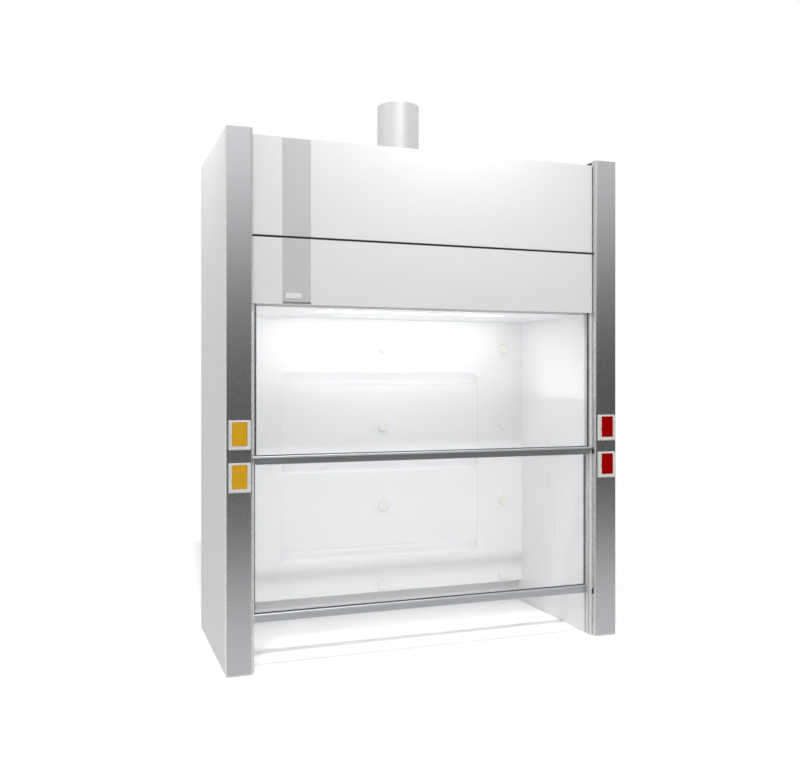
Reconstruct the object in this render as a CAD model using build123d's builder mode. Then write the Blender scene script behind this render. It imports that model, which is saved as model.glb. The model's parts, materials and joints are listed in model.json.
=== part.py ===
"""Floor-standing walk-in fume hood with two counterbalanced sashes, in millimetres.

X runs across the front, Y from the front to the back and Z up. The origin is at the floor, under the middle of
the whole object. Depths are given behind the front face of the service posts, and block() and plane_at() turn
them into Y, because the socket lids stand out in front of the posts.
"""

from build123d import *
import math
import os

os.makedirs("parts", exist_ok=True)

# ---- driving dimensions ----
WIDTH = 1800
DEPTH = 770  # posts' front face to the back of the rear panel
POST_HEIGHT = 2200
TOTAL_HEIGHT = 2500  # top of the exhaust collar
LID_PROUD = 17  # how far the socket lids stand in front of the posts
FRONT = LID_PROUD - (DEPTH + LID_PROUD) / 2  # Y of the posts' front face
HALF = WIDTH / 2
SIDES = {"left": -1, "right": 1}

# service posts and side walls
POST_WIDTH = 107
POST_DEPTH = 32
POST_WALL = 3
POST_INNER_CORNER = 12.5
POST_OUTER_CORNER = 2
POST_X = HALF - POST_WIDTH  # inner face of a post
SHEET = 2
LINER_X = 783  # inner face of the side liners and the guide tracks
LINER = 6
CAVITY_X = LINER_X + LINER
PANEL_FRONT = POST_DEPTH + 0.5  # front fold of a side panel, just behind the post
PANEL_FOLD_X = POST_X + 4
WORK_TOP = 1491  # underside of the ceiling panel

# sash guides: two channels in each track, the upper sash's in front, each with a narrow mouth
TRACK_DEPTHS = (POST_DEPTH, 84)
TRACK_WALL = 2
CHANNEL_BACK_X = POST_X - TRACK_WALL
CHANNELS = {"upper": (36, 52), "lower": (64, 80)}
MOUTH = 5
TRACK_TOP = 2130
BAY_BACK = TRACK_DEPTHS[1] + 8.5  # back of the bay that holds the pulleys and counterweights

# rear panel, set in a little from the ends of the side panels
REAR = DEPTH - 4
REAR_INNER = REAR - SHEET
BATTEN = (50, 2.5)  # height and thickness of the cover strips across the back
BATTEN_ZS = (740, 1460)

# fascia and roof
FASCIA_DEPTH = 26
FASCIA_X = 791
FASCIA_RIM_X = 776
FASCIA_RIM_DEPTH = 35.5
FASCIA_BOTTOM = 1496
FASCIA_SPLIT = (1767.5, 1776.5)  # the dark joint between the two fascia panels
FASCIA_TOP = 2181
ACCENT_XS = (-667, -549)
ACCENT = 1.5
NAME_PLATE = (-621, 1532)  # X and Z of its middle
ROOF_Z = (2178, 2180)

# sashes: z of the bottom of each handle rail, and of the top of each sash
SASHES = {
    "upper": {"bottom": 840, "top": 1516, "depth": 0, "nose_x": 791, "nose_depth": 26.5},
    "lower": {"bottom": 192, "top": 860, "depth": 28, "nose_x": 782.3, "nose_depth": 57},
}
RAIL_HEIGHT = 36
RAIL_X = 782.3
STILE_X = (776, 782.5)
STILE_DEPTHS = (38, 50)
TOP_RAIL = 14
GLASS_DEPTHS = (42, 47)
GLASS_BITE = 4  # how far the pane goes into the stiles
GLASS_FIT = 0.3
GLIDE_NECK = MOUTH - 1
GLIDE_HEAD_X = (LINER_X + TRACK_WALL + 0.4, CHANNEL_BACK_X - 0.5)
GLIDE_GAP = 0.4
STUD_COUNT = 7
STUD_PITCH = 14.5
STUD_FIRST_X = 670

# counterbalance: pulleys, cables and weights in the side-wall cavities
CABLE_X = 787
CABLE_R = 1.5
PULLEY_PITCH_R = 25
PULLEY_R = 27
PULLEY_Z = 2166
PULLEY_X = CABLE_X + PULLEY_PITCH_R
PULLEY_WIDTH = 10
SHAFT_R = 5
WEIGHT_X = (795, 889)
WEIGHT_TOP = 2100
WEIGHT_LENGTH = {"upper": 520, "lower": 470}
WEIGHT_DEPTHS = {"upper": (36, 56), "lower": (61, 83)}
CABLE_DEPTHS = {"upper": 44, "lower": 72}

# baffle at the back of the chamber
BAFFLE_DEPTHS = (711, 717)
BAFFLE_BOTTOM = 114
SLOT_LENGTH = 1050
SLOT_HEIGHT = 60
SLOT_ZS = (316, 754, 1192)
RECESS = 2  # shallow recess in the baffle between two slots, for a plate
PLATE = 1.2
FIXING_XS = (-670, 0, 670)
FIXING_ZS = (150, 550, 950, 1350)
HEX_FLATS = 47
HEX_HEAD = 12
FIXING_R = 8
FIXING_FIT = 0.4
FIXING_REACH = 22  # how far a fixing's shank goes behind the baffle

# ceiling lamp
LAMP_X = 450
LAMP_DEPTHS = (244, 326)

# exhaust
COLLAR_R = 100
COLLAR_DEPTH = 490
COLLAR_WALL = 2
FLANGE_R = 125
NECK_R = 96
PLENUM_X = 780
PLENUM_TOP = 2140
PLENUM_FRONT = 390
PLENUM_SLOPE = (1650, 2000)

# power sockets on the posts
SOCKET_X = 848
SOCKET_ZS = {"upper": 965, "lower": 794}
BEZEL = (88, 118, 11)
COVER = (74, 110, 15.5)
LID = (59, 93, 6)
LID_SHIFT = (-1.3, 5)  # centre of the lid from the centre of the bezel, in X and Z
LID_GAP = 0.8
LID_PIN_R = 0.75

# frame tubes and feet
TUBE = 30
TUBE_WALL = 2
FRAME_X = (860, 890)
FRAME_DEPTHS = ((92, 122), (733, 763))
FOOT_X = 873
FOOT_DEPTHS = (200, 620)
FOOT_R = 22
FOOT_PAD = 9
FOOT_STUD_R = 6


def block(xs, depths, zs, mode=Mode.ADD):
    """A box between two values of X, of depth behind the posts' faces, and of Z."""
    centre = (sum(xs) / 2, FRONT + sum(depths) / 2, sum(zs) / 2)
    with Locations(centre):
        Box(abs(xs[1] - xs[0]), depths[1] - depths[0], zs[1] - zs[0], mode=mode)


def plane_at(depth):
    """A plane facing the front at a depth, whose local X and Y are the object's X and Z."""
    return Plane(origin=(0, FRONT + depth, 0), x_dir=(1, 0, 0), z_dir=(0, -1, 0))


def tube_between(xs, depths, zs, axis):
    """A square tube, hollow along one axis."""
    block(xs, depths, zs)
    inner = [sorted(xs), sorted(depths), sorted(zs)]
    for i, pair in enumerate(inner):
        if i != axis:
            inner[i] = [pair[0] + TUBE_WALL, pair[1] - TUBE_WALL]
    block(*inner, mode=Mode.SUBTRACT)


def save(shape, name):
    """Label a finished piece and write it under its node's name."""
    shape.label = name
    export_step(shape, f"parts/{name}.step")


def save_group(shapes, name):
    """Write several separate solids of one kind as one node."""
    save(Compound(children=shapes), name)


# ---------------------------------------------------------------- side walls
def side_panel(s):
    """Folded sheet: outer skin with front, back, top and bottom returns, open towards the chamber."""
    with BuildPart() as panel:
        block((s * PANEL_FOLD_X, s * HALF), (PANEL_FRONT, BAY_BACK), (0, POST_HEIGHT))
        block((s * CAVITY_X, s * HALF), (BAY_BACK, DEPTH), (0, POST_HEIGHT))
        inside_x = (s * LINER_X, s * (HALF - SHEET))
        inside_z = (SHEET, POST_HEIGHT - SHEET)
        block(inside_x, (PANEL_FRONT + SHEET, DEPTH - SHEET), inside_z, Mode.SUBTRACT)
        for depth in FOOT_DEPTHS:
            with Locations((s * FOOT_X, FRONT + depth, SHEET / 2)):
                Cylinder(FOOT_R + 2, SHEET, mode=Mode.SUBTRACT)
    return panel.part


def side_liner(s):
    """Flat board that lines the chamber and hides the counterweights."""
    with BuildPart() as liner:
        block((s * LINER_X, s * CAVITY_X), (TRACK_DEPTHS[1] + 0.5, REAR_INNER), (0, WORK_TOP + LINER))
    return liner.part


def service_post(s):
    """Aluminium cover profile, well rounded on the side of the opening and cut out for two sockets."""
    middle = s * (HALF + POST_X) / 2
    with BuildPart() as post:
        with BuildSketch(Plane.XY) as outline:
            with Locations((middle, FRONT + POST_DEPTH / 2)):
                Rectangle(POST_WIDTH, POST_DEPTH)
            front_corners = outline.vertices().group_by(Axis.Y)[0].sort_by(Axis.X)
            inner, outer = front_corners if s > 0 else front_corners[::-1]
            fillet(inner, POST_INNER_CORNER)
            fillet(outer, POST_OUTER_CORNER)
        extrude(amount=POST_HEIGHT)
        with BuildSketch(Plane.XY.offset(POST_WALL)) as hollow:
            with Locations((middle, FRONT + POST_WALL + POST_DEPTH / 2)):
                Rectangle(POST_WIDTH - 2 * POST_WALL, POST_DEPTH)
            hollow_corners = hollow.vertices().group_by(Axis.Y)[0].sort_by(Axis.X)
            fillet(hollow_corners[0 if s > 0 else -1], POST_INNER_CORNER - POST_WALL)
        extrude(amount=POST_HEIGHT - 2 * POST_WALL, mode=Mode.SUBTRACT)
        for z in SOCKET_ZS.values():
            x, lid_z = s * SOCKET_X + LID_SHIFT[0], z + LID_SHIFT[1]
            wide, tall = LID[0] / 2 + 1.5, LID[1] / 2 + 1.5
            block((x - wide, x + wide), (-1, POST_WALL + 1), (lid_z - tall, lid_z + tall), Mode.SUBTRACT)
    return post.part


def side_frame(s):
    """Welded frame of square tube inside a side wall."""
    low, high = (30, 60), (ROOF_Z[0] - TUBE, ROOF_Z[0])
    xs = (s * FRAME_X[0], s * FRAME_X[1])
    with BuildPart() as frame:
        for depths in FRAME_DEPTHS:
            tube_between(xs, depths, (SHEET, POST_HEIGHT - SHEET), axis=2)
        for zs in (low, high):
            tube_between(xs, (FRAME_DEPTHS[0][1], FRAME_DEPTHS[1][0]), zs, axis=1)
        for depth in FOOT_DEPTHS:
            with Locations((s * FOOT_X, FRONT + depth, sum(low) / 2)):
                Cylinder(FOOT_STUD_R + 0.4, TUBE + 2, mode=Mode.SUBTRACT)
    return frame.part


def cross_beam(depths):
    """Square tube that joins the two side frames under the roof."""
    with BuildPart() as beam:
        tube_between((-FRAME_X[0], FRAME_X[0]), depths, (ROOF_Z[0] - TUBE, ROOF_Z[0]), axis=0)
    return beam.part


def levelling_foot(s, depth):
    """Threaded foot: round pad, stud and lock nut in one."""
    with BuildPart() as foot:
        with BuildSketch(Plane((s * FOOT_X, FRONT + depth, 0))):
            Circle(FOOT_R)
        extrude(amount=FOOT_PAD)
        chamfer(foot.edges().filter_by(GeomType.CIRCLE).sort_by(Axis.Z)[-1], 2)
        with BuildSketch(Plane((s * FOOT_X, FRONT + depth, FOOT_PAD))):
            Circle(FOOT_STUD_R)
        extrude(amount=72)
        with BuildSketch(Plane((s * FOOT_X, FRONT + depth, 2 * FOOT_PAD))):
            RegularPolygon(10.5, 6)
        extrude(amount=10)
    return foot.part


# ---------------------------------------------------------------- sash guides
def guide_track(s):
    """Extruded guide, flush with the liner, with one narrow-mouthed channel for each sash."""
    inside = (s * (LINER_X + TRACK_WALL), s * CHANNEL_BACK_X)
    heights = (0, TRACK_TOP)
    with BuildPart() as track:
        block((s * LINER_X, s * POST_X), TRACK_DEPTHS, heights)
        for depths in CHANNELS.values():
            block(inside, depths, heights, Mode.SUBTRACT)
            middle = sum(depths) / 2
            mouth = (middle - MOUTH / 2, middle + MOUTH / 2)
            block((s * (LINER_X - 1), s * (LINER_X + TRACK_WALL)), mouth, heights, Mode.SUBTRACT)
        between = (CHANNELS["upper"][1] + TRACK_WALL, CHANNELS["lower"][0] - TRACK_WALL)
        block(inside, between, heights, Mode.SUBTRACT)
    return track.part


def post_buffer(s, low):
    """Rubber block on a post's inner face, at the height of a handle rail."""
    with BuildPart() as buffer:
        block((s * 790, s * POST_X), (18, 26), (low + 3, low + 25.5))
        chamfer(buffer.edges().filter_by(Axis.Z).group_by(Axis.Y)[0], 1)
    return buffer.part


def channel_stop(s):
    """Rubber block in the rear channel that the lower sash's glide rests on."""
    low = SASHES["lower"]["bottom"]
    with BuildPart() as stop:
        block((s * GLIDE_HEAD_X[0], s * CHANNEL_BACK_X), (65, 79), (low - 32, low))
    return stop.part


# ---------------------------------------------------------------- fascia and roof
def fascia(zs):
    """Flat sheet front with a folded rim behind it."""
    with BuildPart() as panel:
        block((-FASCIA_X, FASCIA_X), (FASCIA_DEPTH, FASCIA_DEPTH + SHEET), zs)
        rim = (FASCIA_DEPTH + SHEET, FASCIA_RIM_DEPTH)
        block((-FASCIA_RIM_X, FASCIA_RIM_X), rim, zs)
        inner = FASCIA_RIM_X - SHEET
        block((-inner, inner), rim, (zs[0] + SHEET, zs[1] - SHEET), Mode.SUBTRACT)
        chamfer(panel.edges().filter_by(Axis.X).group_by(Axis.Y)[0], 0.8)
    return panel.part


def fascia_gasket():
    """Dark strip set back in the joint between the two fascia panels."""
    with BuildPart() as strip:
        block((-FASCIA_X, FASCIA_X), (FASCIA_DEPTH + 2.5, POST_DEPTH - 0.5), FASCIA_SPLIT)
        block((-FASCIA_RIM_X, FASCIA_RIM_X), (POST_DEPTH - 0.5, FASCIA_RIM_DEPTH - 1), FASCIA_SPLIT)
    return strip.part


def accent_strip(zs):
    """Thin grey decorative plate on a fascia panel."""
    with BuildPart() as strip:
        block(ACCENT_XS, (FASCIA_DEPTH - ACCENT, FASCIA_DEPTH), zs)
        chamfer(strip.edges().filter_by(Axis.Z).group_by(Axis.Y)[0], 0.4)
    return strip.part


def name_plate():
    """Small blank plate at the foot of the accent strip."""
    with BuildPart() as plate:
        with BuildSketch(plane_at(FASCIA_DEPTH - ACCENT)):
            with Locations(NAME_PLATE):
                RectangleRounded(66, 22, 3)
        extrude(amount=1)
    return plate.part


def roof_panel():
    """Top sheet with upturned sides and the hole for the exhaust neck, notched clear of the pulleys."""
    with BuildPart() as roof:
        block((-CAVITY_X, CAVITY_X), (FASCIA_RIM_DEPTH + 0.5, REAR_INNER), ROOF_Z)
        for s in SIDES.values():
            upturn = (s * (CAVITY_X - SHEET), s * CAVITY_X)
            block(upturn, (BAY_BACK, REAR_INNER), (ROOF_Z[0], POST_HEIGHT - SHEET))
            block((s * 780, s * (CAVITY_X + 1)), (33, 90), (ROOF_Z[0] - 1, ROOF_Z[1] + 1), Mode.SUBTRACT)
        with Locations((0, FRONT + COLLAR_DEPTH, ROOF_Z[0] + SHEET / 2)):
            Cylinder(NECK_R + 2, 2 * SHEET, mode=Mode.SUBTRACT)
    return roof.part


def exhaust_plenum():
    """Sheet duct that carries air from behind the baffle forward to the collar."""
    def profile(inset):
        back, front, low = REAR_INNER - 2 - inset, BAFFLE_DEPTHS[0] - 2 + inset, WORK_TOP + LINER
        slope_foot, slope_top = [z + inset / 2 for z in PLENUM_SLOPE]
        top, reach = PLENUM_TOP - inset, PLENUM_FRONT + inset
        return [(front, low), (back, low), (back, top), (reach, top), (reach, slope_top), (front, slope_foot)]

    def section(x, inset):
        return Plane(origin=(x, FRONT, 0), x_dir=(0, 1, 0), z_dir=(1, 0, 0)), profile(inset)

    with BuildPart() as plenum:
        for x, inset, mode in ((PLENUM_X, 0, Mode.ADD), (PLENUM_X - SHEET, SHEET, Mode.SUBTRACT)):
            plane, points = section(-x, inset)
            with BuildSketch(plane):
                with BuildLine():
                    Polyline(*points, close=True)
                make_face()
            extrude(amount=2 * x, mode=mode)
        with Locations((0, FRONT + COLLAR_DEPTH, PLENUM_TOP)):
            Cylinder(NECK_R + 1, 4 * SHEET, mode=Mode.SUBTRACT)
    return plenum.part


def exhaust_collar():
    """Round duct spigot with a flange on the roof and a neck that drops into the plenum."""
    flange_z = ROOF_Z[1]
    step = flange_z + SHEET
    outline = [
        (NECK_R - COLLAR_WALL, PLENUM_TOP - 6), (NECK_R, PLENUM_TOP - 6), (NECK_R, flange_z),
        (FLANGE_R, flange_z), (FLANGE_R, step), (COLLAR_R, step), (COLLAR_R, TOTAL_HEIGHT),
        (COLLAR_R - COLLAR_WALL, TOTAL_HEIGHT), (COLLAR_R - COLLAR_WALL, step),
        (NECK_R - COLLAR_WALL, step - 3),
    ]
    axis_plane = Plane(origin=(0, FRONT + COLLAR_DEPTH, 0), x_dir=(1, 0, 0), z_dir=(0, -1, 0))
    with BuildPart() as collar:
        with BuildSketch(axis_plane):
            with BuildLine():
                Polyline(*outline, close=True)
            make_face()
        revolve(axis=Axis((0, FRONT + COLLAR_DEPTH, 0), (0, 0, 1)))
    return collar.part


# ---------------------------------------------------------------- chamber
def rear_panel():
    """Back sheet of the hood, between the two side walls."""
    with BuildPart() as panel:
        block((-CAVITY_X, CAVITY_X), (REAR_INNER, REAR), (0, ROOF_Z[1]))
    return panel.part


def rear_batten(z):
    """Flat cover strip across the back, over a joint in the sheets."""
    with BuildPart() as batten:
        tall, thick = BATTEN
        block((-CAVITY_X + 3, CAVITY_X - 3), (REAR, REAR + thick), (z - tall / 2, z + tall / 2))
        chamfer(batten.edges().filter_by(Axis.X).group_by(Axis.Y)[-1], 1)
    return batten.part


def baffle_panel():
    """Board with three slots and recesses for two plates, short of the floor so that air leaves under it."""
    thick = BAFFLE_DEPTHS[1] - BAFFLE_DEPTHS[0]
    with BuildPart() as baffle:
        block((-LINER_X, LINER_X), BAFFLE_DEPTHS, (BAFFLE_BOTTOM, WORK_TOP))
        with BuildSketch(plane_at(BAFFLE_DEPTHS[1])):
            with Locations(*[(0, z) for z in SLOT_ZS]):
                SlotOverall(SLOT_LENGTH, SLOT_HEIGHT)
            with Locations(*[(x, z) for x in FIXING_XS for z in FIXING_ZS]):
                Circle(FIXING_R + FIXING_FIT)
        extrude(amount=thick, mode=Mode.SUBTRACT)
        recess = (BAFFLE_DEPTHS[0] - 1, BAFFLE_DEPTHS[0] + RECESS)
        for low, high in zip(SLOT_ZS, SLOT_ZS[1:]):
            zs = (low + SLOT_HEIGHT / 2, high - SLOT_HEIGHT / 2)
            block((-SLOT_LENGTH / 2, SLOT_LENGTH / 2), recess, zs, Mode.SUBTRACT)
        chamfer(baffle.edges().filter_by(Axis.X).group_by(Axis.Y)[0], 1)
    return baffle.part


def baffle_plate(z_low, z_high, fixing_z):
    """Thin removable plate between two slots, let into the baffle and held by the middle fixing."""
    with BuildPart() as plate:
        with BuildSketch(plane_at(BAFFLE_DEPTHS[0] + RECESS)):
            with Locations((0, (z_low + z_high) / 2)):
                RectangleRounded(SLOT_LENGTH - 3, z_high - z_low, 6)
            with Locations((0, fixing_z)):
                Circle(FIXING_R + FIXING_FIT, mode=Mode.SUBTRACT)
        extrude(amount=PLATE)
    return plate.part


def baffle_fixing(x, z, seat):
    """Large moulded hexagon head with a shank, dimpled in the middle."""
    with BuildPart() as fixing:
        with BuildSketch(plane_at(seat)):
            with Locations((x, z)):
                RegularPolygon(HEX_FLATS / math.sqrt(3), 6, rotation=30)
        extrude(amount=HEX_HEAD)
        chamfer(fixing.faces().sort_by(Axis.Y)[0].edges(), 2.5)
        tip = BAFFLE_DEPTHS[1] + FIXING_REACH
        with BuildSketch(plane_at(tip)):
            with Locations((x, z)):
                Circle(FIXING_R)
        extrude(amount=tip - seat)
        with Locations((x, FRONT + seat - HEX_HEAD - 3.5, z)):
            Sphere(5, mode=Mode.SUBTRACT)
    return fixing.part


def baffle_spacer(x, z):
    """Round standoff between the baffle and the rear panel, with a blind hole for the fixing."""
    length = REAR_INNER - BAFFLE_DEPTHS[1]
    with BuildPart() as spacer:
        with BuildSketch(plane_at(REAR_INNER)):
            with Locations((x, z)):
                Circle(16)
        extrude(amount=length)
        bore = FIXING_REACH + 3
        with BuildSketch(plane_at(BAFFLE_DEPTHS[1] + bore)):
            with Locations((x, z)):
                Circle(FIXING_R + 0.1)
        extrude(amount=bore, mode=Mode.SUBTRACT)
    return spacer.part


def ceiling_panel():
    """Chamber ceiling with a lamp window and an upturned front edge."""
    with BuildPart() as ceiling:
        front = BAY_BACK + 2.5
        block((-LINER_X, LINER_X), (front, BAFFLE_DEPTHS[0] - 0.5), (WORK_TOP, WORK_TOP + LINER))
        block((-LINER_X, LINER_X), (front, front + 3), (WORK_TOP, WORK_TOP + 45))
        block((-LAMP_X, LAMP_X), LAMP_DEPTHS, (WORK_TOP, WORK_TOP + LINER), Mode.SUBTRACT)
    return ceiling.part


def lamp_diffuser():
    """Clear window in the ceiling, below the lamp."""
    front, back = LAMP_DEPTHS
    with BuildPart() as diffuser:
        block((-LAMP_X + 1, LAMP_X - 1), (front + 1, back - 1), (WORK_TOP + 1, WORK_TOP + LINER))
    return diffuser.part


def lamp_housing():
    """Sheet trough over the window, open downwards."""
    front, back = LAMP_DEPTHS[0] - 12, LAMP_DEPTHS[1] + 12
    base = WORK_TOP + LINER
    with BuildPart() as housing:
        block((-LAMP_X - 20, LAMP_X + 20), (front, back), (base, base + 60))
        block((-LAMP_X - 18, LAMP_X + 18), (front + SHEET, back - SHEET), (base, base + 58), Mode.SUBTRACT)
    return housing.part


def led_bar(depth):
    """Flat LED light bar hung under the top of the housing."""
    base = WORK_TOP + LINER
    with BuildPart() as bar:
        block((-LAMP_X + 20, LAMP_X - 20), (depth - 9, depth + 9), (base + 46, base + 58))
        chamfer(bar.edges().filter_by(Axis.X).group_by(Axis.Z)[0], 3)
    return bar.part


# ---------------------------------------------------------------- sashes
def sash_rail(sash):
    """Handle rail along the bottom of a sash: glass groove, round grip nose and two rows of grip studs."""
    low, shift = sash["bottom"], sash["depth"]
    body = [
        (50, 0), (50, RAIL_HEIGHT), (47.3, RAIL_HEIGHT), (47.3, 22), (41.7, 22), (41.7, RAIL_HEIGHT),
        (29, RAIL_HEIGHT), (29, 2), (31, 0),
    ]
    nose_r = 5
    with BuildPart() as rail:
        across = Plane(origin=(-RAIL_X, FRONT + shift, low), x_dir=(0, 1, 0), z_dir=(1, 0, 0))
        with BuildSketch(across):
            with BuildLine():
                Polyline(*body, close=True)
            make_face()
            with Locations((39, 11)):
                RectangleRounded(16, 16, 2, mode=Mode.SUBTRACT)
        extrude(amount=2 * RAIL_X)
        nose = Plane(origin=(-sash["nose_x"], FRONT, low), x_dir=(0, 1, 0), z_dir=(1, 0, 0))
        with BuildSketch(nose):
            with Locations((sash["nose_depth"], RAIL_HEIGHT - nose_r)):
                Circle(nose_r)
        extrude(amount=2 * sash["nose_x"])
        studs = [STUD_FIRST_X + i * STUD_PITCH for i in range(STUD_COUNT)]
        with Locations(*[(s * x, FRONT + shift + 30.2, low + 14) for s in SIDES.values() for x in studs]):
            Sphere(2.8)
    return rail.part


def sash_stile(sash, s):
    """Side profile of a sash, grooved for the glass and running in the guide channel."""
    low, top, shift = sash["bottom"] + RAIL_HEIGHT, sash["top"] - TOP_RAIL, sash["depth"]
    with BuildPart() as stile:
        block((s * STILE_X[0], s * STILE_X[1]), [d + shift for d in STILE_DEPTHS], (low, top))
        groove = (GLASS_DEPTHS[0] - GLASS_FIT + shift, GLASS_DEPTHS[1] + GLASS_FIT + shift)
        groove_x = (s * (STILE_X[0] - 1), s * (STILE_X[0] + GLASS_BITE + GLASS_FIT))
        block(groove_x, groove, (low, top), Mode.SUBTRACT)
    return stile.part


def sash_top_rail(sash):
    """Slim top profile of a sash, grooved for the glass."""
    top, shift = sash["top"], sash["depth"]
    with BuildPart() as rail:
        block((-STILE_X[0], STILE_X[0]), [d + shift for d in STILE_DEPTHS], (top - TOP_RAIL, top))
        groove = (GLASS_DEPTHS[0] - GLASS_FIT + shift, GLASS_DEPTHS[1] + GLASS_FIT + shift)
        block((-STILE_X[0], STILE_X[0]), groove, (top - TOP_RAIL, top - TOP_RAIL + 8), Mode.SUBTRACT)
    return rail.part


def sash_glass(sash):
    """Safety glass pane, held in the grooves of the rails and stiles."""
    depths = [d + sash["depth"] for d in GLASS_DEPTHS]
    rail_top, frame_top = sash["bottom"] + RAIL_HEIGHT, sash["top"] - TOP_RAIL
    wide, narrow = STILE_X[0] + GLASS_BITE, STILE_X[0] - 1
    with BuildPart() as glass:
        block((-wide, wide), depths, (rail_top - 13, frame_top - 1))
        block((-narrow, narrow), depths, (frame_top - 1, frame_top + 7))
    return glass.part


def sash_gasket(sash):
    """Black glazing bead round the front of the pane."""
    depths = (GLASS_DEPTHS[0] - 2 + sash["depth"], GLASS_DEPTHS[0] + sash["depth"])
    low, high = sash["bottom"] + RAIL_HEIGHT, sash["top"] - TOP_RAIL
    bead = 3
    with BuildPart() as gasket:
        block((-STILE_X[0], STILE_X[0]), depths, (low, high))
        block((-STILE_X[0] + bead, STILE_X[0] - bead), depths, (low + bead, high - bead), Mode.SUBTRACT)
    return gasket.part


def sash_glide(sash, s, top):
    """Plastic glide at a corner of the sash: a neck through the channel's mouth and a head inside it."""
    depths = [d + sash["depth"] for d in STILE_DEPTHS]
    middle = sum(depths) / 2
    zs = (sash["top"] - TOP_RAIL, sash["top"]) if top else (sash["bottom"], sash["bottom"] + RAIL_HEIGHT)
    half_channel = (CHANNELS["upper"][1] - CHANNELS["upper"][0]) / 2 - GLIDE_GAP
    with BuildPart() as glide:
        if top:
            block((s * STILE_X[0], s * STILE_X[1]), depths, zs)
        neck_x = (s * (STILE_X[1] if top else RAIL_X), s * GLIDE_HEAD_X[1])
        block(neck_x, (middle - GLIDE_NECK / 2, middle + GLIDE_NECK / 2), zs)
        head_x = (s * GLIDE_HEAD_X[0], s * GLIDE_HEAD_X[1])
        block(head_x, (middle - half_channel, middle + half_channel), zs)
    return glide.part


# ---------------------------------------------------------------- counterbalance
def pulley(s, depth):
    """Grooved cable wheel that turns on a shaft along Y."""
    half = PULLEY_WIDTH / 2
    groove_r = PULLEY_PITCH_R - CABLE_R - 0.3
    outline = [
        (SHAFT_R + 0.05, -half), (PULLEY_R, -half), (PULLEY_R, -half + 1.5), (groove_r, -1.6),
        (groove_r, 1.6), (PULLEY_R, half - 1.5), (PULLEY_R, half), (SHAFT_R + 0.05, half),
    ]
    centre = (s * PULLEY_X, FRONT + depth, PULLEY_Z)
    with BuildPart() as wheel:
        with BuildSketch(Plane(origin=centre, x_dir=(1, 0, 0), z_dir=(0, 0, 1))):
            with BuildLine():
                Polyline(*outline, close=True)
            make_face()
        revolve(axis=Axis(centre, (0, 1, 0)))
        with BuildSketch(Plane(origin=centre, x_dir=(1, 0, 0), z_dir=(0, -1, 0))):
            with PolarLocations(14.5, 5):
                Circle(4)
        extrude(amount=half, both=True, mode=Mode.SUBTRACT)
    return wheel.part


def pulley_bracket(s):
    """Hanger with two cheeks and the shaft pressed into them."""
    top = POST_HEIGHT - SHEET
    xs = (s * (PULLEY_X - 9), s * (PULLEY_X + 9))
    with BuildPart() as bracket:
        block(xs, (34.5, 84), (top - 3, top))
        for depths in ((34.5, 37), (81.5, 84)):
            block(xs, depths, (PULLEY_Z - 9, top))
        with BuildSketch(plane_at(84)):
            with Locations((s * PULLEY_X, PULLEY_Z)):
                Circle(SHAFT_R)
        extrude(amount=84 - 34.5)
    return bracket.part


def counterweight(s, name):
    """Flat steel counterweight that hangs in the side-wall cavity."""
    low = WEIGHT_TOP - WEIGHT_LENGTH[name]
    with BuildPart() as weight:
        block((s * WEIGHT_X[0], s * WEIGHT_X[1]), WEIGHT_DEPTHS[name], (low, WEIGHT_TOP))
        chamfer(weight.edges().filter_by(Axis.Y), 4)
    return weight.part


def cable_run(x, depth, z_low, z_high):
    """Straight stretch of sash cable."""
    with BuildPart() as run:
        with BuildSketch(Plane((x, FRONT + depth, z_low))):
            Circle(CABLE_R)
        extrude(amount=z_high - z_low)
    return run.part


def cable_wrap(s, depth):
    """Half turn of cable over a pulley."""
    start = s * (PULLEY_X - PULLEY_PITCH_R)
    with BuildPart() as wrap:
        with BuildSketch(Plane((start, FRONT + depth, PULLEY_Z))):
            Circle(CABLE_R)
        revolve(axis=Axis((s * PULLEY_X, FRONT + depth, PULLEY_Z), (0, s, 0)), revolution_arc=180)
    return wrap.part


# ---------------------------------------------------------------- sockets
def socket_bezel(x, z):
    """Outer frame of a socket, standing on the post's face."""
    wide, tall, thick = BEZEL
    with BuildPart() as bezel:
        with BuildSketch(plane_at(0)):
            with Locations((x, z)):
                RectangleRounded(wide, tall, 4)
                Rectangle(COVER[0] + 0.4, COVER[1] + 0.4, mode=Mode.SUBTRACT)
        extrude(amount=thick)
        fillet(bezel.faces().sort_by(Axis.Y)[0].outer_wire().edges(), 2)
    return bezel.part


def socket_cover(x, z):
    """Raised inner frame round the lid, with holes for the lid's hinge pin."""
    wide, tall, thick = COVER
    lid_x, lid_z = x + LID_SHIFT[0], z + LID_SHIFT[1]
    with BuildPart() as cover:
        with BuildSketch(plane_at(0)):
            with Locations((x, z)):
                RectangleRounded(wide, tall, 3)
            with Locations((lid_x, lid_z)):
                Rectangle(LID[0] + 2 * LID_GAP, LID[1] + 2 * LID_GAP, mode=Mode.SUBTRACT)
        extrude(amount=thick)
        chamfer(cover.faces().sort_by(Axis.Y)[0].outer_wire().edges(), 1)
        pin_x = lid_x + LID[0] / 2 - LID[2] / 2
        with Locations((pin_x, FRONT - LID_PROUD + LID[2] / 2, lid_z)):
            Cylinder(LID_PIN_R + 0.02, LID[1] + 7, mode=Mode.SUBTRACT)
    return cover.part


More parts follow.
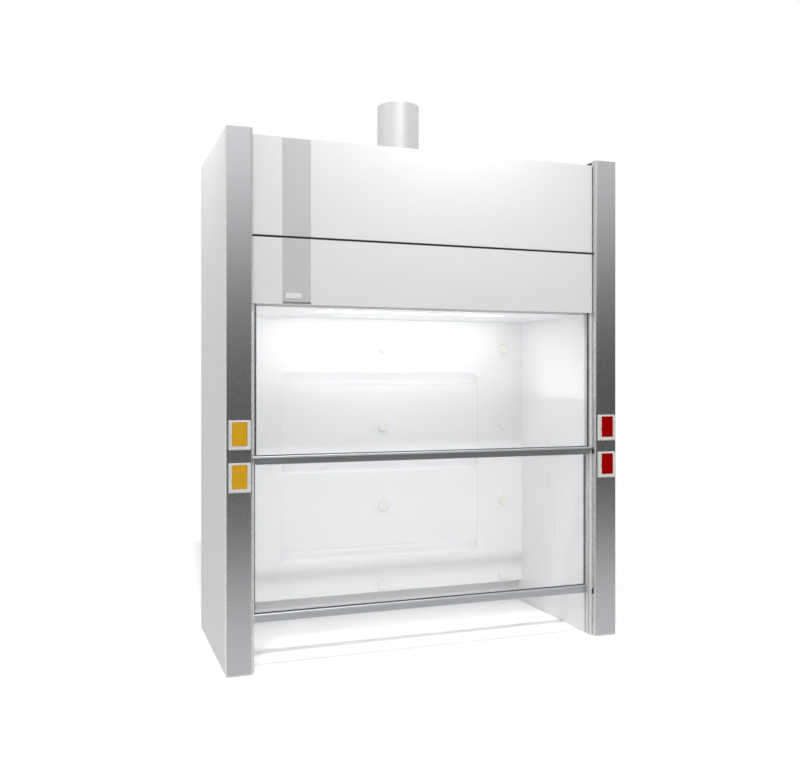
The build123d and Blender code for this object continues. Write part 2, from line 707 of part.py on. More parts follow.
def socket_insert(x, z):
    """Contact block behind the lid, with a round well and two contact holes."""
    lid_x, lid_z = x + LID_SHIFT[0], z + LID_SHIFT[1]
    front, back = -8, POST_DEPTH - 3
    with BuildPart() as insert:
        with BuildSketch(plane_at(back)):
            with Locations((lid_x, lid_z)):
                RectangleRounded(LID[0], LID[1], 2)
        extrude(amount=back - front)
        with BuildSketch(plane_at(front + 17)):
            with Locations((lid_x, lid_z)):
                Circle(20)
        extrude(amount=17, mode=Mode.SUBTRACT)
        with BuildSketch(plane_at(front + 31)):
            with Locations((lid_x - 9.5, lid_z), (lid_x + 9.5, lid_z)):
                Circle(2.6)
        extrude(amount=14, mode=Mode.SUBTRACT)
    return insert.part


def socket_lid(x, z):
    """Hinged lid with a full-round hinge edge on the right and a finger nib on the left."""
    lid_x, lid_z = x + LID_SHIFT[0], z + LID_SHIFT[1]
    wide, tall, thick = LID
    front_y = FRONT - LID_PROUD
    with BuildPart() as lid:
        with Locations((lid_x, front_y + thick / 2, lid_z)):
            Box(wide, thick, tall)
        hinge_edges = lid.edges().filter_by(Axis.Z).group_by(Axis.X)[-1]
        fillet(hinge_edges, thick / 2 - 0.01)
        with Locations((lid_x - wide / 2 - 0.5, front_y + 0.6, lid_z - 9)):
            Box(4, 1.2, 12)
        with Locations((lid_x + wide / 2 - thick / 2, front_y + thick / 2, lid_z)):
            Cylinder(LID_PIN_R + 0.05, tall + 2, mode=Mode.SUBTRACT)
    return lid.part


def lid_pin(x, z):
    """Hinge pin of a lid."""
    lid_x, lid_z = x + LID_SHIFT[0], z + LID_SHIFT[1]
    with BuildPart() as pin:
        with Locations((lid_x + LID[0] / 2 - LID[2] / 2, FRONT - LID_PROUD + LID[2] / 2, lid_z)):
            Cylinder(LID_PIN_R, LID[1] + 6.5)
    return pin.part


# ---------------------------------------------------------------- write the nodes
for side, sign in SIDES.items():
    save(side_panel(sign), f"side_panel_{side}")
    save(service_post(sign), f"service_post_{side}")
    save(side_frame(sign), f"side_frame_{side}")
    save(guide_track(sign), f"guide_track_{side}")
save_group([side_liner(s) for s in SIDES.values()], "side_liners")
save_group([cross_beam(depths) for depths in FRAME_DEPTHS], "cross_beams")
save_group([levelling_foot(s, d) for s in SIDES.values() for d in FOOT_DEPTHS], "levelling_feet")

buffers = [post_buffer(s, sash["bottom"]) for s in SIDES.values() for sash in SASHES.values()]
save_group(buffers + [channel_stop(s) for s in SIDES.values()], "sash_stops")

save(fascia((FASCIA_SPLIT[1], FASCIA_TOP)), "fascia_upper")
save(fascia((FASCIA_BOTTOM, FASCIA_SPLIT[0])), "fascia_lower")
save(fascia_gasket(), "fascia_gasket")
accent_zs = ((FASCIA_SPLIT[1] + 1, FASCIA_TOP - 4), (FASCIA_BOTTOM + 4, FASCIA_SPLIT[0] - 1))
save_group([accent_strip(zs) for zs in accent_zs], "accent_strips")
save(name_plate(), "name_plate")
save(roof_panel(), "roof_panel")
save(exhaust_plenum(), "exhaust_plenum")
save(exhaust_collar(), "exhaust_collar")

save(rear_panel(), "rear_panel")
save_group([rear_batten(z) for z in BATTEN_ZS], "rear_battens")
save(baffle_panel(), "baffle_panel")
reach = SLOT_HEIGHT / 2 + 4
save_group(
    [
        baffle_plate(SLOT_ZS[0] + reach, SLOT_ZS[1] - reach, FIXING_ZS[1]),
        baffle_plate(SLOT_ZS[1] + reach, SLOT_ZS[2] - reach, FIXING_ZS[2]),
    ],
    "baffle_plates",
)
fixings = []
for x in FIXING_XS:
    for z in FIXING_ZS:
        on_plate = x == 0 and z in FIXING_ZS[1:3]
        fixings.append(baffle_fixing(x, z, BAFFLE_DEPTHS[0] - (PLATE if on_plate else 0)))
save_group(fixings, "baffle_fixings")
save_group([baffle_spacer(x, z) for x in FIXING_XS for z in FIXING_ZS], "baffle_spacers")
save(ceiling_panel(), "ceiling_panel")
save(lamp_diffuser(), "lamp_diffuser")
save(lamp_housing(), "lamp_housing")
save_group([led_bar(sum(LAMP_DEPTHS) / 2 + d) for d in (-16, 16)], "led_bars")

for name, sash in SASHES.items():
    save(sash_rail(sash), f"{name}_sash_rail")
    frame = [sash_stile(sash, s) for s in SIDES.values()] + [sash_top_rail(sash)]
    save_group(frame, f"{name}_sash_frame")
    save(sash_glass(sash), f"{name}_sash_glass")
    save(sash_gasket(sash), f"{name}_sash_gasket")
    glides = [sash_glide(sash, s, top) for s in SIDES.values() for top in (False, True)]
    save_group(glides, f"{name}_sash_glides")
    depth = CABLE_DEPTHS[name]
    weight_x = PULLEY_X + PULLEY_PITCH_R
    save_group(
        [cable_run(s * CABLE_X, depth, sash["top"], PULLEY_Z) for s in SIDES.values()],
        f"{name}_sash_cables",
    )
    save_group(
        [cable_run(s * weight_x, depth, WEIGHT_TOP, PULLEY_Z) for s in SIDES.values()],
        f"{name}_weight_cables",
    )
    save_group([counterweight(s, name) for s in SIDES.values()], f"{name}_counterweights")
    for side, sign in SIDES.items():
        save(pulley(sign, depth), f"{name}_pulley_{side}")
save_group([cable_wrap(s, d) for s in SIDES.values() for d in CABLE_DEPTHS.values()], "cable_wraps")
save_group([pulley_bracket(s) for s in SIDES.values()], "pulley_brackets")

places = [(s * SOCKET_X, z) for s in SIDES.values() for z in SOCKET_ZS.values()]
frames = [make(x, z) for x, z in places for make in (socket_bezel, socket_cover)]
save_group(frames, "socket_frames")
save_group([socket_insert(x, z) for x, z in places], "socket_inserts")
save_group([lid_pin(x, z) for x, z in places], "lid_pins")
for side, sign in SIDES.items():
    for height, z in SOCKET_ZS.items():
        save(socket_lid(sign * SOCKET_X, z), f"socket_lid_{side}_{height}")
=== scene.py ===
import bmesh
import bpy
import json
import math
from mathutils import Matrix, Vector


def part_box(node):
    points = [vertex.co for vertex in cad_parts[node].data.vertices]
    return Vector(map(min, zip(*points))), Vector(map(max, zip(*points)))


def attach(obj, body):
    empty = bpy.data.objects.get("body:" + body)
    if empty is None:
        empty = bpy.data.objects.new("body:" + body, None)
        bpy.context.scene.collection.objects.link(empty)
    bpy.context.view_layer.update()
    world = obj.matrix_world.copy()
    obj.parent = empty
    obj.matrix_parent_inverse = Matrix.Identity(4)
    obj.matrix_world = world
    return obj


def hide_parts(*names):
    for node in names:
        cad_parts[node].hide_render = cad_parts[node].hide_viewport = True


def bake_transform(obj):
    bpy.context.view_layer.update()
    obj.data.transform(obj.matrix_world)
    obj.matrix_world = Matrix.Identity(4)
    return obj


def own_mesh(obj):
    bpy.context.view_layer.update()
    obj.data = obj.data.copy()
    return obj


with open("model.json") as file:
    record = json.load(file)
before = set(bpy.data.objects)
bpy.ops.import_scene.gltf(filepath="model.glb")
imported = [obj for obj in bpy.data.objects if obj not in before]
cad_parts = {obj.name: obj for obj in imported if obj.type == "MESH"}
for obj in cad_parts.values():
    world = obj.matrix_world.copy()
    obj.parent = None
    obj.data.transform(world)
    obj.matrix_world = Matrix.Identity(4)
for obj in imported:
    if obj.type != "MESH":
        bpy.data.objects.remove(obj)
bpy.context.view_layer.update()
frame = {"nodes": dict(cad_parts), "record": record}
NODES = frame["nodes"]
SIDES = {"left": -1, "right": 1}
SASHES = ("upper", "lower")
MM = 0.001

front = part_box("service_post_left")[0].y  # Y of the posts' faces


# ---------------------------------------------------------------- materials
class Surface:
    """A procedural material: one Principled shader and the nodes that feed it."""

    def __init__(self, name, colour, roughness, metallic=0.0):
        self.material = bpy.data.materials.new(name)
        self.material.use_nodes = True
        self.tree = self.material.node_tree
        self.shader = self.tree.nodes["Principled BSDF"]
        self.colour = (*colour, 1.0)
        self.shader.inputs["Base Color"].default_value = self.colour
        self.shader.inputs["Roughness"].default_value = roughness
        self.shader.inputs["Metallic"].default_value = metallic
        self.roughness = roughness
        self.coords = self.tree.nodes.new("ShaderNodeTexCoord").outputs["Object"]
        bevel = self.tree.nodes.new("ShaderNodeBevel")
        bevel.samples = 4
        bevel.inputs["Radius"].default_value = 0.9 * MM
        self.rounded = bevel.outputs["Normal"]
        self.tree.links.new(self.rounded, self.shader.inputs["Normal"])

    def set(self, **values):
        """Constant values on the shader's own sockets."""
        for key, value in values.items():
            self.shader.inputs[key.replace("_", " ")].default_value = value
        return self

    def noise(self, scale, stretch=(1, 1, 1), detail=3):
        """Noise of a number of features per metre, stretched along the axes."""
        mapping = self.tree.nodes.new("ShaderNodeMapping")
        mapping.inputs["Scale"].default_value = stretch
        self.tree.links.new(self.coords, mapping.inputs["Vector"])
        node = self.tree.nodes.new("ShaderNodeTexNoise")
        node.inputs["Scale"].default_value = scale
        node.inputs["Detail"].default_value = detail
        self.tree.links.new(mapping.outputs["Vector"], node.inputs["Vector"])
        return node.outputs["Fac"]

    def spangle(self, scale):
        """Flat crystals, as on galvanised sheet."""
        node = self.tree.nodes.new("ShaderNodeTexVoronoi")
        node.inputs["Scale"].default_value = scale
        self.tree.links.new(self.coords, node.inputs["Vector"])
        grey = self.tree.nodes.new("ShaderNodeRGBToBW")
        self.tree.links.new(node.outputs["Color"], grey.inputs["Color"])
        return grey.outputs["Val"]

    def span(self, value, low, high, start=0.3, end=0.7):
        """A value mapped from start..end to low..high."""
        node = self.tree.nodes.new("ShaderNodeMapRange")
        for key, number in (("From Min", start), ("From Max", end), ("To Min", low), ("To Max", high)):
            node.inputs[key].default_value = number
        self.tree.links.new(value, node.inputs["Value"])
        return node.outputs["Result"]

    def edges(self, low=0.90, high=0.995):
        """1 on sharp edges and 0 on flat faces."""
        geometry = self.tree.nodes.new("ShaderNodeNewGeometry")
        dot = self.tree.nodes.new("ShaderNodeVectorMath")
        dot.operation = "DOT_PRODUCT"
        self.tree.links.new(geometry.outputs["Normal"], dot.inputs[0])
        self.tree.links.new(self.rounded, dot.inputs[1])
        return self.span(dot.outputs["Value"], 1, 0, low, high)

    def tint(self, factor, shade):
        """Blend the colour so far towards a shade by a factor."""
        node = self.tree.nodes.new("ShaderNodeMix")
        node.data_type = "RGBA"
        socket = self.shader.inputs["Base Color"]
        if socket.links:
            self.tree.links.new(socket.links[0].from_socket, node.inputs["A"])
        else:
            node.inputs["A"].default_value = self.colour
        node.inputs["B"].default_value = (*shade, 1.0)
        self.tree.links.new(factor, node.inputs["Factor"])
        self.tree.links.new(node.outputs["Result"], socket)
        return self

    def rough(self, factor, amount):
        """Vary the roughness by plus or minus an amount."""
        low, high = self.roughness - amount, self.roughness + amount
        self.tree.links.new(self.span(factor, low, high), self.shader.inputs["Roughness"])
        return self

    def bump(self, factor, height, strength=1.0):
        """Raise the surface by a height in metres where the factor is high."""
        node = self.tree.nodes.new("ShaderNodeBump")
        node.inputs["Distance"].default_value = height
        node.inputs["Strength"].default_value = strength
        self.tree.links.new(factor, node.inputs["Height"])
        socket = self.shader.inputs["Normal"]
        self.tree.links.new(socket.links[0].from_socket, node.inputs["Normal"])
        self.tree.links.new(node.outputs["Normal"], socket)
        return self


def scaled(colour, k):
    return tuple(min(1.0, c * k) for c in colour)


def coating(name, colour, roughness, coat=0.0, peel=0.02):
    """Powder coat: orange peel, faint clouding, and darker edges and creases: rubbed edges, with painted
    shade in the creases.
    """
    s = Surface(name, colour, roughness).set(Coat_Weight=coat, Coat_Roughness=0.12)
    s.tint(s.span(s.noise(2.2, detail=4), 0, 0.5), scaled(colour, 0.955))
    # Edges and creases tinted darker: rubbed edges, and painted shade in the creases.
    s.tint(s.span(s.edges(), 0, 0.35, 0, 1), scaled(colour, 0.72))
    s.rough(s.noise(160), 0.05)
    return s.bump(s.noise(420, detail=2), 0.1 * MM, peel * 10).material


def brushed(name, colour, roughness, along, grain=0.05):
    """Anodised metal with fine lines along one axis and a painted highlight that makes the edges slightly
    bright.
    """
    stretch = [1.0, 1.0, 1.0]
    stretch["XYZ".index(along)] = 0.12
    s = Surface(name, colour, roughness, 1.0)
    lines = s.noise(1100, stretch, detail=2)
    s.tint(s.span(lines, 0, 1), scaled(colour, 1 - grain))
    s.tint(s.span(s.noise(700, detail=2), 0, 0.8), scaled(colour, 1 - grain))
    # Painted highlight: the edges are tinted slightly brighter.
    s.tint(s.span(s.edges(), 0, 0.3, 0, 1), scaled(colour, 1.12))
    s.rough(s.noise(500, stretch), 0.02)
    return s.bump(lines, 0.01 * MM, 0.03).material


def plastic(name, colour, roughness, texture=900, coat=0.2, specular=0.5):
    """Moulded plastic: fine tool texture and a painted highlight that makes the edges slightly paler."""
    s = Surface(name, colour, roughness)
    s.set(Coat_Weight=coat, Coat_Roughness=0.2, Specular_IOR_Level=specular)
    s.tint(s.span(s.noise(35, detail=4), 0, 0.6), scaled(colour, 0.90))
    # Painted highlight: the edges are tinted paler.
    s.tint(s.span(s.edges(), 0, 0.3, 0, 1), tuple(0.9 * c + 0.1 for c in colour))
    s.rough(s.noise(260), 0.06)
    return s.bump(s.noise(texture, detail=2), 0.03 * MM, 0.6).material


def galvanised(name, colour, roughness):
    """Zinc-coated sheet with a faint spangle and a painted highlight on its edges."""
    s = Surface(name, colour, roughness, 0.75)
    s.tint(s.span(s.spangle(90), 0, 0.5, 0, 1), scaled(colour, 0.86))
    # Painted highlight: the edges are tinted brighter.
    s.tint(s.span(s.edges(), 0, 0.4, 0, 1), scaled(colour, 1.25))
    s.rough(s.spangle(120), 0.04)
    return s.bump(s.noise(500), 0.02 * MM, 0.4).material


def laminate(name, colour, roughness):
    """Smooth white board with faint marks left by wiping, and painted shade that darkens its edges and
    creases.
    """
    s = Surface(name, colour, roughness)
    s.tint(s.span(s.noise(3, detail=5), 0, 0.6), scaled(colour, 0.965))
    # Painted shade: the edges and creases are tinted darker.
    s.tint(s.span(s.edges(), 0, 0.5, 0, 1), scaled(colour, 0.8))
    s.rough(s.noise(12, (1, 1, 0.2), detail=5), 0.08)
    return s.bump(s.noise(700, detail=2), 0.02 * MM, 0.3).material


def glowing(name, colour, strength):
    """Diffuser that gives light, with a prism pattern."""
    s = Surface(name, colour, 0.4).set(Emission_Color=(1.0, 0.99, 0.97, 1.0), Emission_Strength=strength)
    s.tint(s.span(s.noise(40), 0, 0.4), scaled(colour, 0.93))
    return s.bump(s.noise(320, (1, 3, 1), detail=1), 0.2 * MM).material


def clear_glass(name):
    """Safety glass: mostly clear, with faint wiping marks in the reflection."""
    s = Surface(name, (0.93, 0.96, 0.96), 0.05).set(Alpha=0.08, IOR=1.5)
    return s.rough(s.noise(7, (1, 1, 0.4), detail=6), 0.025).material


MATT = {"texture": 1300, "coat": 0}
MATERIALS = {
    "white_coated_steel": coating("powder_coat_white", (0.60, 0.602, 0.612), 0.5),
    "fascia_coat": coating("powder_coat_fascia", (0.59, 0.587, 0.58), 0.32, coat=0.3),
    "grey_plate": coating("accent_grey", (0.42, 0.42, 0.415), 0.4),
    "brushed_aluminium": brushed("anodised_vertical", (0.58, 0.585, 0.59), 0.28, "Z"),
    "rail_aluminium": brushed("anodised_lengthwise", (0.56, 0.57, 0.58), 0.34, "X"),
    "galvanised": galvanised("galvanised_sheet", (0.60, 0.60, 0.60), 0.42),
    "steel": brushed("drawn_steel", (0.42, 0.42, 0.43), 0.42, "Z", grain=0.2),
    "white_laminate": laminate("laminate_white", (0.755, 0.758, 0.768), 0.35),
    "cream_plastic": plastic("moulded_cream", (0.76, 0.755, 0.70), 0.35),
    "white_plastic": plastic("moulded_white", (0.6, 0.58, 0.55), 0.32),
    "grey_plastic": plastic("moulded_grey", (0.15, 0.155, 0.16), 0.5),
    "black_rubber": plastic("rubber_black", (0.012, 0.012, 0.014), 0.75, texture=1400, coat=0),
    "yellow_plastic": plastic("moulded_yellow", (0.52, 0.275, 0.0035), 0.5, specular=0.12, **MATT),
    "red_plastic": plastic("moulded_red", (0.25, 0.001, 0.001), 0.5, specular=0.0, **MATT),
    "sash_glass": clear_glass("glass_clear"),
    "lamp_window": glowing("lamp_diffuser_white", (0.9, 0.9, 0.9), 5.0),
    "led": glowing("led_bar_white", (0.95, 0.95, 0.92), 12.0),
}
LENGTHWISE = ("upper_sash_rail", "lower_sash_rail")
slots = {row["node"]: row["material_slot"] for row in frame["record"]["subparts"]}
for node, cad in NODES.items():
    chosen = MATERIALS["rail_aluminium" if node in LENGTHWISE else slots[node]]
    if not cad.material_slots:
        cad.data.materials.append(chosen)
    for place in cad.material_slots:
        place.material = chosen


# ---------------------------------------------------------------- small fittings
def piece(name, bm, slot, body):
    """A finished mesh as an object that rides on a body."""
    mesh = bpy.data.meshes.new(name)
    bmesh.ops.recalc_face_normals(bm, faces=bm.faces)
    bm.to_mesh(mesh)
    bm.free()
    obj = bpy.data.objects.new(name, mesh)
    bpy.context.scene.collection.objects.link(obj)
    mesh.materials.append(MATERIALS[slot])
    mesh.shade_smooth()
    mesh.set_sharp_from_angle(angle=math.radians(35))
    if body:
        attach(obj, body)
    return obj


def skin(bm, rings):
    """Join rings of vertices into a closed tube with flat ends."""
    sides = len(rings[0])
    for a, b in zip(rings, rings[1:]):
        for k in range(sides):
            bm.faces.new((a[k], a[(k + 1) % sides], b[(k + 1) % sides], b[k]))
    bm.faces.new(rings[0])
    bm.faces.new(rings[-1])


def turned(bm, outline, place, sides=24, shape=None):
    """Close a turned solid round local Z: outline is (radius, height) points, from axis to axis."""
    rings = []
    for i, (radius, height) in enumerate(outline):
        ring = []
        for k in range(sides):
            a = 2 * math.pi * k / sides
            r = radius * (shape(i, a) if shape else 1)
            ring.append(bm.verts.new(place @ Vector((r * math.cos(a), r * math.sin(a), height))))
        rings.append(ring)
    skin(bm, rings)


def hexagon(angle):
    """Radius of a hexagon with flats at distance 1."""
    return 1 / math.cos((angle + math.pi / 6) % (math.pi / 3) - math.pi / 6)


def button_screw(bm, place, radius):
    """Domed screw head with a hexagon recess."""
    tall = 0.55 * radius
    dome = [(radius, 0), (radius, 0.25 * tall), (0.93 * radius, 0.6 * tall), (0.72 * radius, 0.9 * tall)]
    flat = [(0.5 * radius, tall), (0.4 * radius, tall)]
    outline = dome + flat + [(0.38 * radius, 0.4 * tall), (0.02 * radius, 0.35 * tall)]
    turned(bm, outline, place, shape=lambda i, a: hexagon(a) if i in (5, 6) else 1)


# Screws round the collar's flange.
collar_lo, collar_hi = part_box("exhaust_collar")
collar = (collar_lo + collar_hi) / 2
flange_r = (collar_hi.x - collar_lo.x) / 2
roof_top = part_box("rear_panel")[1].z
FLANGE_THICKNESS = 2 * MM
FLANGE_INSET = 12 * MM
FLANGE_SCREW_R = 4.5 * MM
FLANGE_SCREWS = 8
flange_top = roof_top + FLANGE_THICKNESS
screws = bmesh.new()
for k in range(FLANGE_SCREWS):
    turn = 2 * math.pi * (k + 0.5) / FLANGE_SCREWS
    at = Vector((math.cos(turn), math.sin(turn), 0)) * (flange_r - FLANGE_INSET)
    place = Matrix.Translation((at.x + collar.x, at.y + collar.y, flange_top))
    button_screw(screws, place, FLANGE_SCREW_R)
piece("collar_screws", screws, "steel", "cabinet")

# Screws along the roof's back and front edges. The front corners have none.
roof_lo, roof_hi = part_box("roof_panel")
SHEET_SCREW_R = 4 * MM
ROOF_INSET = 14 * MM
ROOF_ROW = 7
screws = bmesh.new()
for k in range(ROOF_ROW):
    share = k / (ROOF_ROW - 1)
    x = roof_lo.x + ROOF_INSET + share * (roof_hi.x - roof_lo.x - 2 * ROOF_INSET)
    button_screw(screws, Matrix.Translation((x, roof_hi.y - ROOF_INSET, roof_top)), SHEET_SCREW_R)
    if 0 < k < ROOF_ROW - 1:
        button_screw(screws, Matrix.Translation((x, roof_lo.y + ROOF_INSET, roof_top)), SHEET_SCREW_R)
piece("roof_screws", screws, "steel", "cabinet")


def moulding(name, low, high, slot, body, radius):
    """Closed strip between two corners with rounded edges."""
    bm = bmesh.new()
    bmesh.ops.create_cube(bm, size=1)
    size = high - low
    for v in bm.verts:
        v.co = low + Vector([(v.co[i] + 0.5) * size[i] for i in range(3)])
    bmesh.ops.bevel(bm, geom=bm.edges[:], offset=radius, segments=3, profile=0.5, affect="EDGES")
    return piece(name, bm, slot, body)


# Dark trim across the foot of the accent strip.
accent_lo, accent_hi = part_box("accent_strips")
TRIM_PROUD = 1.5 * MM
TRIM_HEIGHT = 7 * MM
TRIM_EDGE = 0.5 * MM
trim_lo = Vector((accent_lo.x, accent_lo.y - TRIM_PROUD, accent_lo.z))
trim_hi = Vector((accent_hi.x, accent_lo.y, accent_lo.z + TRIM_HEIGHT))
moulding("accent_foot", trim_lo, trim_hi, "grey_plastic", "cabinet", TRIM_EDGE)

# Low screws along the cover strips across the back, pointing backwards.
batten_lo, batten_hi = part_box("rear_battens")
BATTEN_HALF = 25 * MM
BATTEN_SCREWS = 8
low_head = Matrix.Rotation(-math.pi / 2, 4, "X") @ Matrix.Scale(0.5, 4, (0, 0, 1))
screws = bmesh.new()
for z in (batten_lo.z + BATTEN_HALF, batten_hi.z - BATTEN_HALF):
    for k in range(BATTEN_SCREWS):
        x = batten_lo.x + (k + 0.5) / BATTEN_SCREWS * (batten_hi.x - batten_lo.x)
        button_screw(screws, Matrix.Translation((x, batten_hi.y, z)) @ low_head, SHEET_SCREW_R)
piece("batten_screws", screws, "steel", "cabinet")


def wire_rope(bm, x, y, low, high, radius):
    """Stranded cable between two heights: six strands laid in a helix."""
    strands = 6
    sides = 3 * strands
    steps = max(8, int((high - low) / (4 * MM)))
    lay = 24 * MM

    def ring(z):
        twist = 2 * math.pi * (z - low) / lay
        row = []
        for k in range(sides):
            a = 2 * math.pi * k / sides
            r = radius * (0.9 + 0.1 * math.cos(strands * a))
            row.append(bm.verts.new((x + r * math.cos(a + twist), y + r * math.sin(a + twist), z)))
        return row

    skin(bm, [ring(low + (high - low) * i / steps) for i in range(steps + 1)])


# Ropes in place of the CAD's cables, each with a ferrule at its lower end.
CABLE_R = 1.5 * MM
FERRULE_SIDES = 16
ferrule_outline = [(2.2 * MM, 0), (3.0 * MM, 1 * MM), (3.0 * MM, 13 * MM), (2.2 * MM, 14 * MM)]
for name in SASHES:
    for kind, body in (("sash", f"{name}_sash"), ("weight", f"{name}_weights")):
        node = f"{name}_{kind}_cables"
        lo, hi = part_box(node)
        y = (lo.y + hi.y) / 2
        for side, s in SIDES.items():
            x = (hi.x - CABLE_R) * s
            rope = bmesh.new()
            wire_rope(rope, x, y, lo.z, hi.z, CABLE_R)
            obj = piece(f"{name}_{kind}_rope_{side}", rope, "steel", "cabinet" if kind == "sash" else None)
            if kind == "sash":
                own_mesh(obj)
            else:
                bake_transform(obj)
            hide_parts(node)
            ferrule = bmesh.new()
            turned(ferrule, ferrule_outline, Matrix.Translation((x, y, lo.z)), FERRULE_SIDES)
            piece(f"{name}_{kind}_ferrule_{side}", ferrule, "steel", body)


# ---------------------------------------------------------------- world and floor
scene = bpy.context.scene
scene.view_settings.view_transform = "Standard"

# The camera and reflections see a white world, and everything else gets less light from it.
world = bpy.data.worlds.new("studio")
scene.world = world
world.use_nodes = True
SKY_LIGHT = 0.3
backdrop = world.node_tree.nodes["Background"]
backdrop.inputs["Color"].default_value = (1, 1, 1, 1)
path = world.node_tree.nodes.new("ShaderNodeLightPath")
seen = world.node_tree.nodes.new("ShaderNodeMath")
seen.operation = "MAXIMUM"
level = world.node_tree.nodes.new("ShaderNodeMapRange")
level.inputs["To Min"].default_value = SKY_LIGHT
world.node_tree.links.new(path.outputs["Is Camera Ray"], seen.inputs[0])
world.node_tree.links.new(path.outputs["Is Glossy Ray"], seen.inputs[1])
world.node_tree.links.new(seen.outputs["Value"], level.inputs["Value"])
world.node_tree.links.new(level.outputs["Result"], backdrop.inputs["Strength"])


def stage_plane(name, size, place):
    """A flat rectangle that isn't part of the object."""
    bm = bmesh.new()
    bmesh.ops.create_grid(bm, x_segments=1, y_segments=1, size=0.5)
    for v in bm.verts:
        v.co = Vector((v.co.x * size[0], v.co.y * size[1], 0))
    mesh = bpy.data.meshes.new(name)
    bm.to_mesh(mesh)
    bm.free()
    obj = bpy.data.objects.new(name, mesh)
    obj.matrix_world = place
    scene.collection.objects.link(obj)
    return obj


FLOOR_SIZE = 60
FLOOR_GAP = 0.5 * MM
floor = stage_plane("floor", (FLOOR_SIZE, FLOOR_SIZE), Matrix.Translation((0, 0, -FLOOR_GAP)))
floor_surface = Surface("studio_floor", (0.93, 0.93, 0.93), 0.9)
floor_surface.set(Emission_Color=(1.0, 1.0, 1.0, 1.0), Emission_Strength=0.01)
floor.data.materials.append(floor_surface.tint(floor_surface.noise(3), (0.92, 0.92, 0.925)).material)


# ---------------------------------------------------------------- lights
def area_light(name, size, place, target, power):
    """Soft rectangular light aimed at a point."""
    data = bpy.data.lights.new(name, "AREA")
    data.shape = "RECTANGLE"
    data.size, data.size_y = size
    data.energy = power
    obj = bpy.data.objects.new(name, data)
    obj.location = place
    obj.rotation_euler = (Vector(target) - Vector(place)).to_track_quat("-Z", "Y").to_euler()
    scene.collection.objects.link(obj)
    return obj


def sun_light(name, direction, power, spread):
    """Parallel light along a direction, softened over an angle in degrees."""
    obj = bpy.data.objects.new(name, bpy.data.lights.new(name, "SUN"))
    obj.data.energy = power
    obj.data.angle = math.radians(spread)
    obj.rotation_euler = Vector(direction).to_track_quat("-Z", "Y").to_euler()
    scene.collection.objects.link(obj)


# Two lights from the front lay the handle rails' shadows on the floor as two streaks.
sun_light("high_key", (0.12, 0.3, -1), 1.5, 3.5)
sun_light("front_key", (0.12, 1.05, -1), 1.3, 3)

# A pool of light on the upper fascia and one on the left side. Reflections don't see these lights.
upper_fascia = Vector((0.05, front, 2.25))
left_side = Vector((-0.9, front + 0.4, 2.45))
washes = (
    area_light("fascia_wash", (0.5, 0.2), upper_fascia + Vector((0, -0.5, 0.6)), upper_fascia, 9.5),
    area_light("left_wash", (0.5, 0.4), left_side + Vector((-0.55, 0, 0.6)), left_side, 15),
)
for wash in washes:
    wash.visible_glossy = False

# Inside the chamber, lights near the ceiling shine on the baffle, the ceiling and the floor.
lamp = sum(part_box("lamp_diffuser"), Vector()) / 2
baffle_lo, baffle_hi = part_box("baffle_panel")
glow_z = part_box("ceiling_panel")[0].z - 4 * MM
glow_place = Vector((-0.02, baffle_lo.y - 0.2, glow_z))
under_ceiling = Vector((0, lamp.y, glow_z))
area_light("chamber_glow", (1.3, 0.05), glow_place, glow_place + Vector((0, 0.2, -0.5)), 1.75)
area_light("ceiling_wash", (1.5, 0.45), under_ceiling - Vector((0, 0, 0.4)), under_ceiling, 1.6)
area_light("chamber_wash", (1.2, 0.06), (lamp.x, lamp.y, glow_z), (lamp.x, lamp.y, 0), 0.9)

# The space behind the baffle is lit from the baffle's back, so that the slots look pale.
behind = Vector((0, baffle_hi.y + 4 * MM, 1.12))
area_light("behind_baffle", (1.3, 1.8), behind, behind + Vector((0, 1, 0)), 5.2)


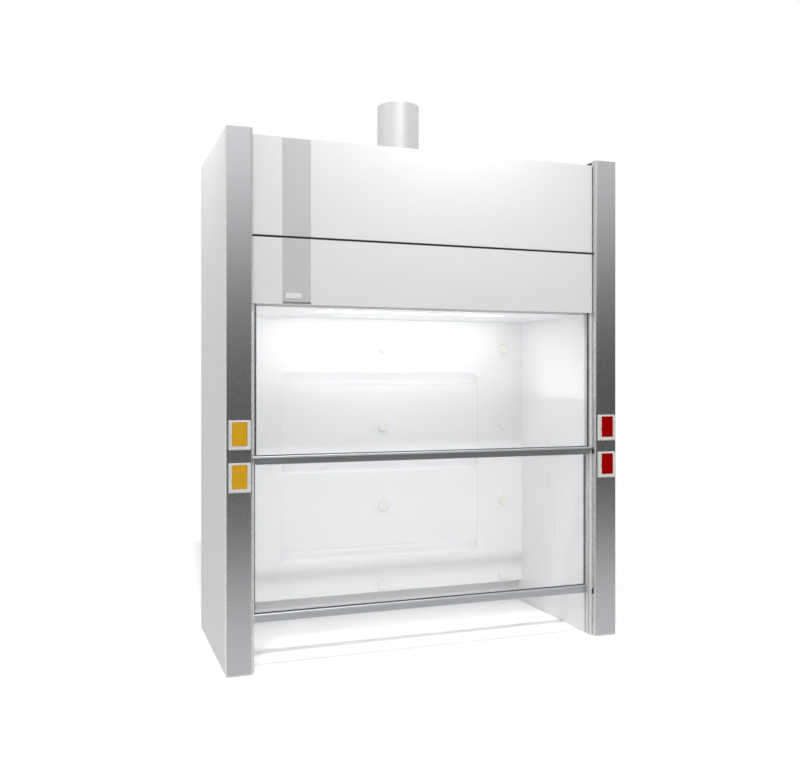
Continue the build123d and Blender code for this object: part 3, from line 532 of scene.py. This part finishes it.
# ---------------------------------------------------------------- reflected cards
def reflected_card(name, size, place, stops, fade=1.0):
    """A glowing card that only reflections see: grey levels along local Y, dimmed to fade along local X."""
    card = stage_plane(name, size, place)
    card.visible_camera = False
    card.visible_diffuse = False
    card.visible_shadow = False
    card.visible_transmission = False
    surface = bpy.data.materials.new(name)
    surface.use_nodes = True
    tree = surface.node_tree
    tree.nodes.clear()
    coords = tree.nodes.new("ShaderNodeTexCoord")
    split = tree.nodes.new("ShaderNodeSeparateXYZ")
    ramp = tree.nodes.new("ShaderNodeValToRGB")
    dim = tree.nodes.new("ShaderNodeMapRange")
    dim.inputs["To Min"].default_value = 1.0
    dim.inputs["To Max"].default_value = fade
    glow = tree.nodes.new("ShaderNodeEmission")
    out = tree.nodes.new("ShaderNodeOutputMaterial")
    tree.links.new(coords.outputs["Generated"], split.inputs["Vector"])
    tree.links.new(split.outputs["X"], dim.inputs["Value"])
    tree.links.new(split.outputs["Y"], ramp.inputs["Fac"])
    tree.links.new(ramp.outputs["Color"], glow.inputs["Color"])
    tree.links.new(dim.outputs["Result"], glow.inputs["Strength"])
    tree.links.new(glow.outputs["Emission"], out.inputs["Surface"])
    elements = ramp.color_ramp.elements
    elements[0].position, elements[1].position = stops[0][0], stops[-1][0]
    for where, _ in stops[1:-1]:
        elements.new(where)
    for stop, (_, grey) in zip(elements, stops):
        stop.color = (grey * 0.97, grey * 0.98, grey, 1)
    card.data.materials.append(surface)


# The aluminium mirrors a dark band at eye level, with a paler sky above it and paler floor below it.
CARD_X = 2.3
CARD_AWAY = 5.6
CARD_TALL = 5.0
CARD_WIDE = 16
CARD_GAP = 0.02
upright = Matrix.Rotation(math.pi / 2, 4, "X")
wall_place = Matrix.Translation((CARD_X, front - CARD_AWAY, CARD_TALL / 2)) @ upright
wall_stops = [(0, 0.06), (0.24, 0.10), (0.4, 0.24), (0.56, 0.85), (0.72, 1.6), (1, 1.7)]
reflected_card("horizon_card", (CARD_WIDE, CARD_TALL), wall_place, wall_stops, fade=0.35)
floor_place = Matrix.Translation((CARD_X, front - CARD_AWAY / 2, 2 * MM))
floor_stops = [(0, 0.08), (0.3, 0.18), (0.6, 0.42), (0.78, 0.72), (0.96, 0.84), (1, 0.84)]
reflected_card("foreground_card", (CARD_WIDE, CARD_AWAY - CARD_GAP), floor_place, floor_stops)

# ---------------------------------------------------------------- camera
camera = bpy.data.objects.new("camera", bpy.data.cameras.new("camera"))
camera.data.sensor_width = 36
camera.data.lens = 40.19
camera.data.shift_y = -0.0132
camera.location = (-1.4544, front - 3.5738, 1.1878)
camera.rotation_euler = (math.pi / 2, 0, math.radians(-19.82))
scene.collection.objects.link(camera)
scene.camera = camera
